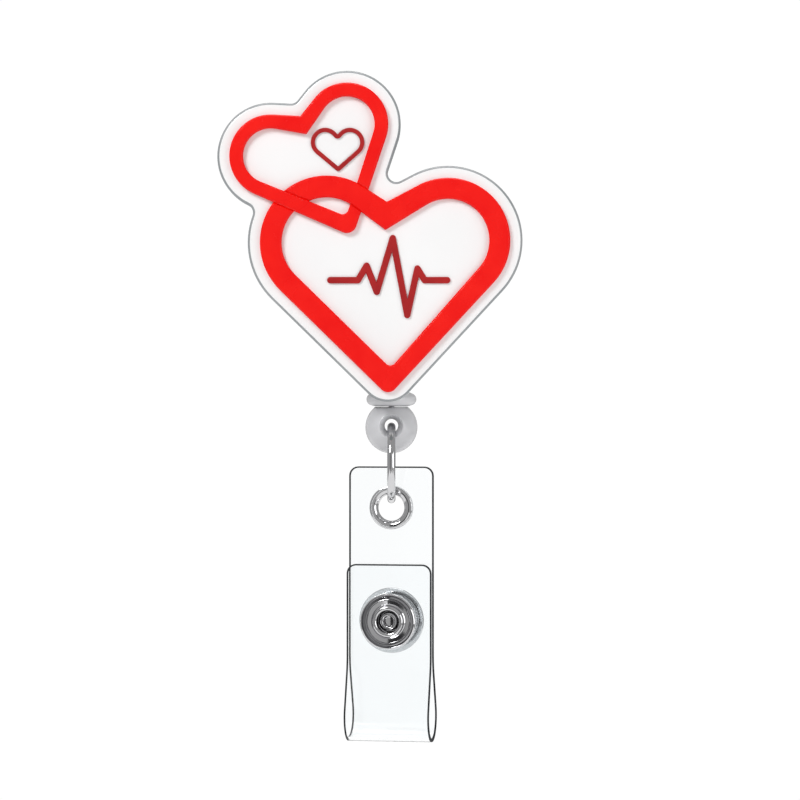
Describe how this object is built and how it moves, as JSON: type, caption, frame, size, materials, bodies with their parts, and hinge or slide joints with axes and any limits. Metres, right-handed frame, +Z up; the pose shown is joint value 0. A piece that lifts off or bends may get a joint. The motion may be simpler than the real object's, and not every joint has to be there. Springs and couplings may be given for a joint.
{
  "type": "retractable badge reel",
  "caption": "Retractable badge reel with an interlocked hearts plate, swivelling jaw clip, pull-out cord with bead and ring, and a clear snap strap for a badge.",
  "frame": {"origin": "the grip point of the clip: middle of the gap between the two toothed jaws", "axes": "+Z up along the hanging cord and strap, -Y out of the decorated front, +X to the viewer's right from the front"},
  "size_m": [0.0421, 0.019, 0.0931],
  "materials": {
    "nickel_plate": "nickel-plated steel, bright",
    "chrome": "bright chrome plate",
    "spring_steel": "satin spring steel",
    "nylon_washer": "natural nylon",
    "white_shell": "moulded white plastic",
    "milky_plastic": "translucent milky plastic",
    "spool_plastic": "natural acetal",
    "cord": "braided nylon cord",
    "adhesive": "foam adhesive",
    "white_plate": "polished white acrylic",
    "red_enamel": "glossy red relief",
    "crimson_line": "glossy dark red ink line",
    "clear_vinyl": "clear flexible vinyl"
  },
  "bodies": {
    "clip": {"clip_base": "nickel_plate", "clip_pin": "nickel_plate", "clip_rivet": "nickel_plate", "clip_spring": "spring_steel"},
    "clip_lever": {"clip_lever": "nickel_plate"},
    "housing": {"clip_washer": "nylon_washer", "rear_shell": "white_shell", "front_shell": "white_shell", "guide_bush": "milky_plastic", "cord_lead": "cord", "adhesive_pad": "adhesive", "heart_plate": "white_plate", "large_heart": "red_enamel", "small_heart": "red_enamel", "mini_heart": "crimson_line", "pulse_motif": "crimson_line"},
    "spool": {"spool": "spool_plastic", "cord_winding": "cord", "mainspring": "spring_steel"},
    "cord_end": {"cord_knot": "cord", "cord_run": "cord"},
    "bead": {"bead": "milky_plastic"},
    "ring": {"jump_ring": "chrome"},
    "strap": {"strap_back": "clear_vinyl", "eyelet_barrel": "chrome", "eyelet_washer": "chrome", "snap_cap": "chrome", "snap_stud": "chrome"},
    "flap": {"strap_flap": "clear_vinyl", "snap_socket": "chrome", "snap_ring": "chrome"}
  },
  "joints": [
    {"name": "clip_jaw", "type": "hinge", "parent": "clip", "child": "clip_lever", "pos_m": [0, 0.0002, 0.013], "axis": [1, 0, 0], "range_deg": [0, 20], "stiffness_Nm_per_rad": 0.05, "springref_deg": -57.3, "deforming": ["clip_spring"]},
    {"name": "clip_swivel", "type": "hinge", "parent": "clip", "child": "housing", "pos_m": [0, -0.0075, 0.012], "axis": [0, 1, 0], "continuous": true},
    {"name": "cord_pull", "type": "slide", "parent": "housing", "child": "cord_end", "axis": [0, 0, -1], "range_m": [0, 0.6], "stiffness_N_per_m": 0.8, "springref_m": -0.6, "deforming": ["cord_run"]},
    {"name": "spool_spin", "type": "hinge", "parent": "housing", "child": "spool", "pos_m": [0, -0.0075, 0.012], "axis": [0, 1, 0], "continuous": true, "deforming": ["mainspring"]},
    {"name": "bead_swivel", "type": "hinge", "parent": "cord_end", "child": "bead", "pos_m": [0, -0.0075, -0.0089], "axis": [0, 0, 1], "continuous": true},
    {"name": "ring_swing", "type": "hinge", "parent": "bead", "child": "ring", "pos_m": [0, -0.0075, -0.0087], "axis": [0, 1, 0], "range_deg": [-60, 60]},
    {"name": "strap_tilt", "type": "hinge", "parent": "ring", "child": "strap", "pos_m": [0, -0.0075, -0.0175], "axis": [0.9848, -0.1736, 0], "range_deg": [-45, 45]},
    {"name": "flap_open", "type": "hinge", "parent": "strap", "child": "flap", "pos_m": [-0.0001, -0.00809, -0.0528], "axis": [0.9848, -0.1736, 0], "range_deg": [0, 100]}
  ],
  "couplings": [
    {"joint": "spool_spin", "follows": "cord_pull", "rad_per_m": -116.28}
  ]
}
